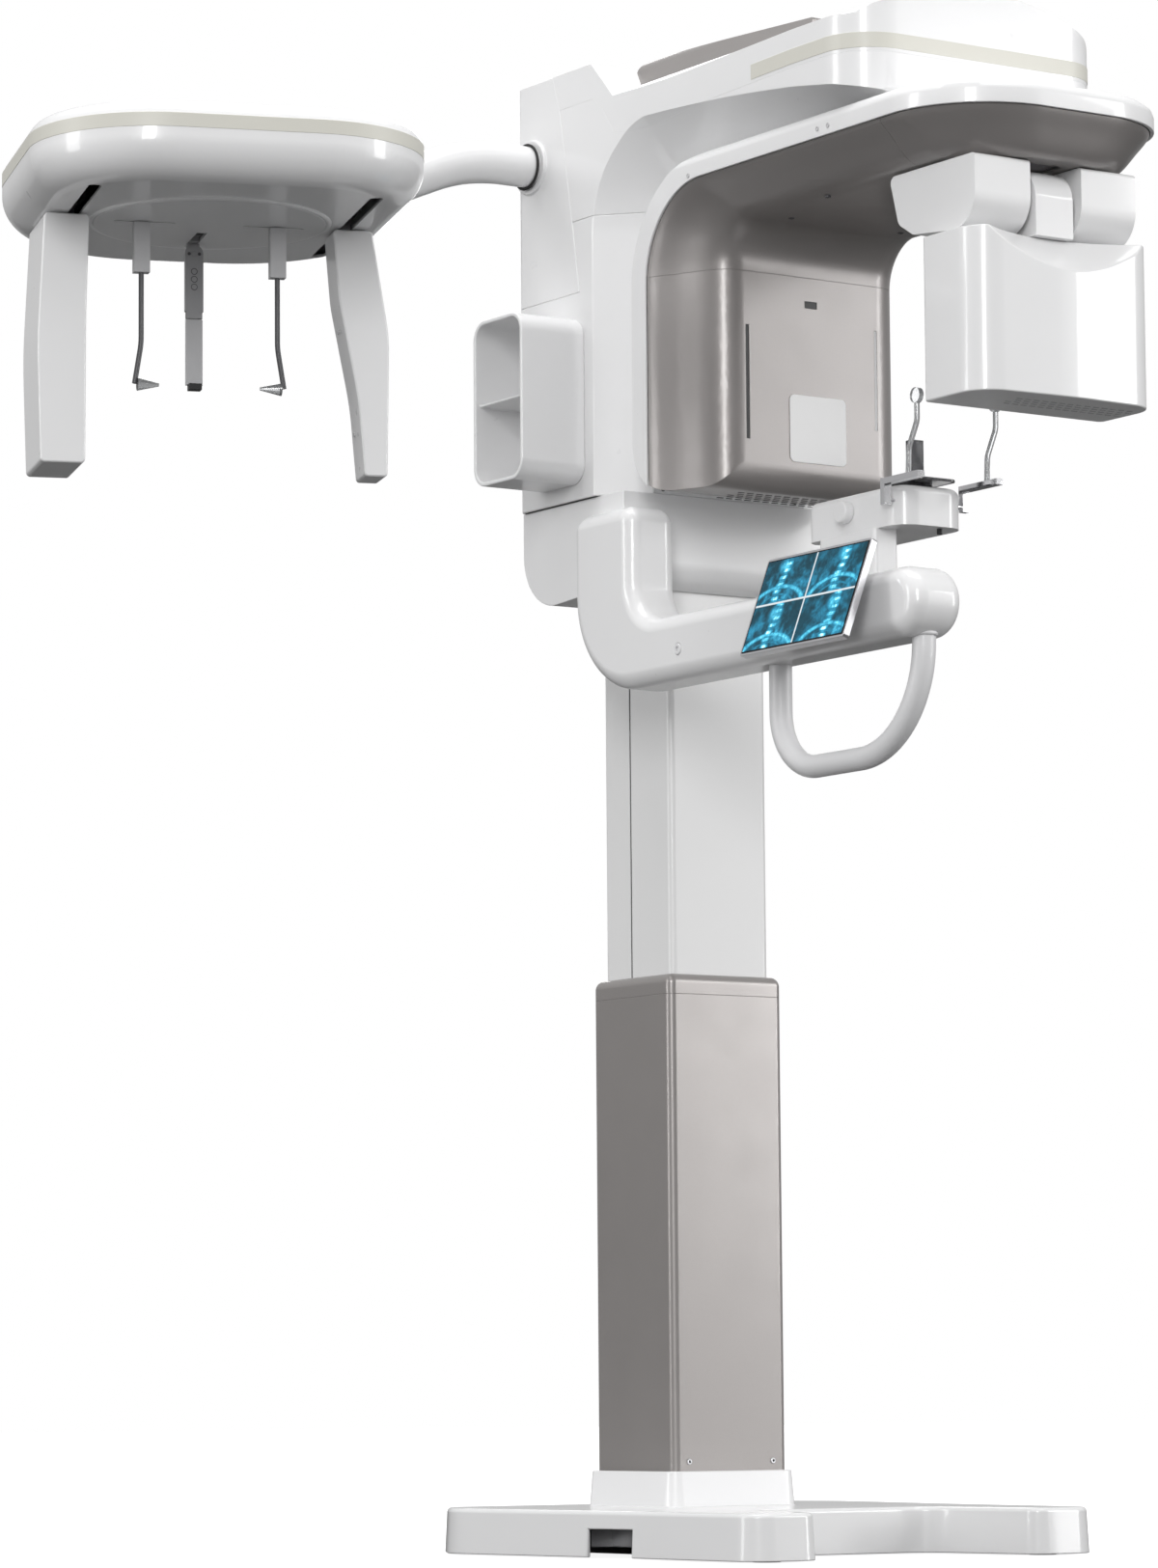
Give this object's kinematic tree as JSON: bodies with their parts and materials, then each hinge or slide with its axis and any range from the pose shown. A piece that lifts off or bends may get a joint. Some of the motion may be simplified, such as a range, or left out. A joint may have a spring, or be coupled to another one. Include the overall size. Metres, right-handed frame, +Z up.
{
  "type": "panoramic x-ray machine",
  "caption": "Dental panoramic x-ray machine: lifting column, rotating gantry with tube head and detector, chin rest, and a cephalometric scanning arm.",
  "frame": {"origin": "centre of the column on the floor", "axes": "+Z up, -Y towards the patient's side, -X towards the cephalometric arm"},
  "size_m": [1.6702, 1.194, 2.236],
  "materials": {
    "white_plastic": "gloss white moulding",
    "taupe_paint": "satin warm grey paint",
    "white_metal": "satin white powder coat",
    "strip": "cream diffuser",
    "steel": "plain steel",
    "aluminium": "machined aluminium",
    "chrome": "polished",
    "dark_plastic": "black",
    "grey_plastic": "dark grey",
    "rubber": "black",
    "screen": "glossy black glass over a lit picture",
    "smoke": "smoked plastic"
  },
  "bodies": {
    "base": {"base_cover": "white_plastic", "base_plate": "steel", "levelling_feet": "steel", "column_sleeve": "taupe_paint", "sleeve_cap": "taupe_paint", "glide_pads": "dark_plastic", "lift_actuator_tube": "steel", "lift_motor": "dark_plastic"},
    "carriage": {"inner_column": "white_metal", "carriage_frame": "aluminium", "top_cover": "white_plastic", "back_cover": "white_plastic", "front_cover": "white_plastic", "waist_cover": "white_plastic", "belly_cover": "white_plastic", "light_strips": "strip", "top_insert": "taupe_paint", "slew_bearing": "steel", "gantry_motor": "dark_plastic", "gantry_belt": "rubber", "patient_arm": "white_plastic", "handle": "white_plastic", "display_bezel": "aluminium", "display_glass": "screen", "side_box": "white_plastic", "chin_bracket": "white_metal", "ceph_tube": "white_metal", "ceph_lower_shell": "white_plastic", "ceph_top_shell": "white_plastic", "ceph_frame": "aluminium"},
    "gantry": {"gantry_shell": "white_plastic", "nose_cover": "taupe_paint", "tube_head_cover": "taupe_paint", "ceiling_liner": "taupe_paint", "head_windows": "dark_plastic", "gantry_frame": "aluminium", "xray_tube_housing": "aluminium", "gantry_hub": "aluminium", "fork_blocks": "white_plastic", "pivot_pin": "steel"},
    "detector": {"detector_neck": "white_plastic", "detector_shell": "white_plastic", "flat_panel": "dark_plastic"},
    "chin": {"chin_tower": "white_plastic", "chin_box_cover": "white_plastic", "chin_and_bite_rest": "smoke"},
    "height_key": {"height_button": "dark_plastic"},
    "temple_left": {"temple_support_left": "chrome"},
    "temple_right": {"temple_support_right": "chrome"},
    "temple_knob_body": {"temple_knob": "white_plastic"},
    "ceph_turntable": {"turntable": "white_plastic"},
    "ear_left": {"ear_rod_left": "grey_plastic"},
    "ear_right": {"ear_rod_right": "grey_plastic"},
    "nasion_carrier": {"nasion_slider": "grey_plastic"},
    "nasion_swing_arm": {"nasion_arm": "grey_plastic"},
    "nasion_tip": {"nasion_blade": "dark_plastic"},
    "ceph_sensor": {"sensor_box": "white_plastic", "sensor_slide": "aluminium"},
    "ceph_collimator": {"collimator_box": "white_plastic", "collimator_slide": "aluminium"}
  },
  "joints": [
    {"name": "column_lift", "type": "slide", "parent": "base", "child": "carriage", "axis": [0, 0, 1], "range_m": [-0.45, 0.15]},
    {"name": "gantry_turn", "type": "hinge", "parent": "carriage", "child": "gantry", "pos_m": [0, -0.57, 2.03], "axis": [0, 0, 1], "range_deg": [-100, 250]},
    {"name": "detector_tilt", "type": "hinge", "parent": "gantry", "child": "detector", "pos_m": [0, -0.868, 1.878], "axis": [-1, 0, 0], "range_deg": [0, 70]},
    {"name": "chin_lift", "type": "slide", "parent": "carriage", "child": "chin", "axis": [0, 0, 1], "range_m": [-0.015, 0.06]},
    {"name": "height_button_press", "type": "slide", "parent": "chin", "child": "height_key", "axis": [0, 0, 1], "range_m": [0, 0.003]},
    {"name": "temple_left_slide", "type": "slide", "parent": "chin", "child": "temple_left", "axis": [-1, 0, 0], "range_m": [-0.003, 0.022]},
    {"name": "temple_right_slide", "type": "slide", "parent": "chin", "child": "temple_right", "axis": [1, 0, 0], "range_m": [-0.003, 0.022]},
    {"name": "temple_knob_turn", "type": "hinge", "parent": "chin", "child": "temple_knob_body", "pos_m": [-0.07, -0.502, 1.49], "axis": [1, 0, 0], "range_deg": [-21.49, 157.56]},
    {"name": "ceph_head_turn", "type": "hinge", "parent": "carriage", "child": "ceph_turntable", "pos_m": [-1.011, -0.322, 1.84], "axis": [0, 0, 1], "range_deg": [-90, 90]},
    {"name": "ear_left_slide", "type": "slide", "parent": "ceph_turntable", "child": "ear_left", "axis": [-0.9444, 0.3289, 0], "range_m": [-0.025, 0.025]},
    {"name": "ear_right_slide", "type": "slide", "parent": "ceph_turntable", "child": "ear_right", "axis": [0.9444, -0.3289, 0], "range_m": [-0.025, 0.025]},
    {"name": "nasion_slide", "type": "slide", "parent": "ceph_turntable", "child": "nasion_carrier", "axis": [0.3289, 0.9444, 0], "range_m": [-0.045, 0.01]},
    {"name": "nasion_swing", "type": "hinge", "parent": "nasion_carrier", "child": "nasion_swing_arm", "pos_m": [-0.97154, -0.20867, 1.82], "axis": [0.3289, 0.9444, 0], "range_deg": [0, 60]},
    {"name": "nasion_height", "type": "slide", "parent": "nasion_swing_arm", "child": "nasion_tip", "axis": [0, 0, 1], "range_m": [-0.02, 0]},
    {"name": "sensor_scan", "type": "slide", "parent": "carriage", "child": "ceph_sensor", "axis": [0.3289, 0.9444, 0], "range_m": [-0.16, 0.1]},
    {"name": "collimator_scan", "type": "slide", "parent": "carriage", "child": "ceph_collimator", "axis": [0.3289, 0.9444, 0], "range_m": [-0.128, 0.08]}
  ],
  "couplings": [
    {"joint": "temple_right_slide", "follows": "temple_left_slide", "ratio": 1},
    {"joint": "temple_knob_turn", "follows": "temple_left_slide", "rad_per_m": 125},
    {"joint": "ear_right_slide", "follows": "ear_left_slide", "ratio": 1},
    {"joint": "collimator_scan", "follows": "sensor_scan", "ratio": 0.8}
  ]
}
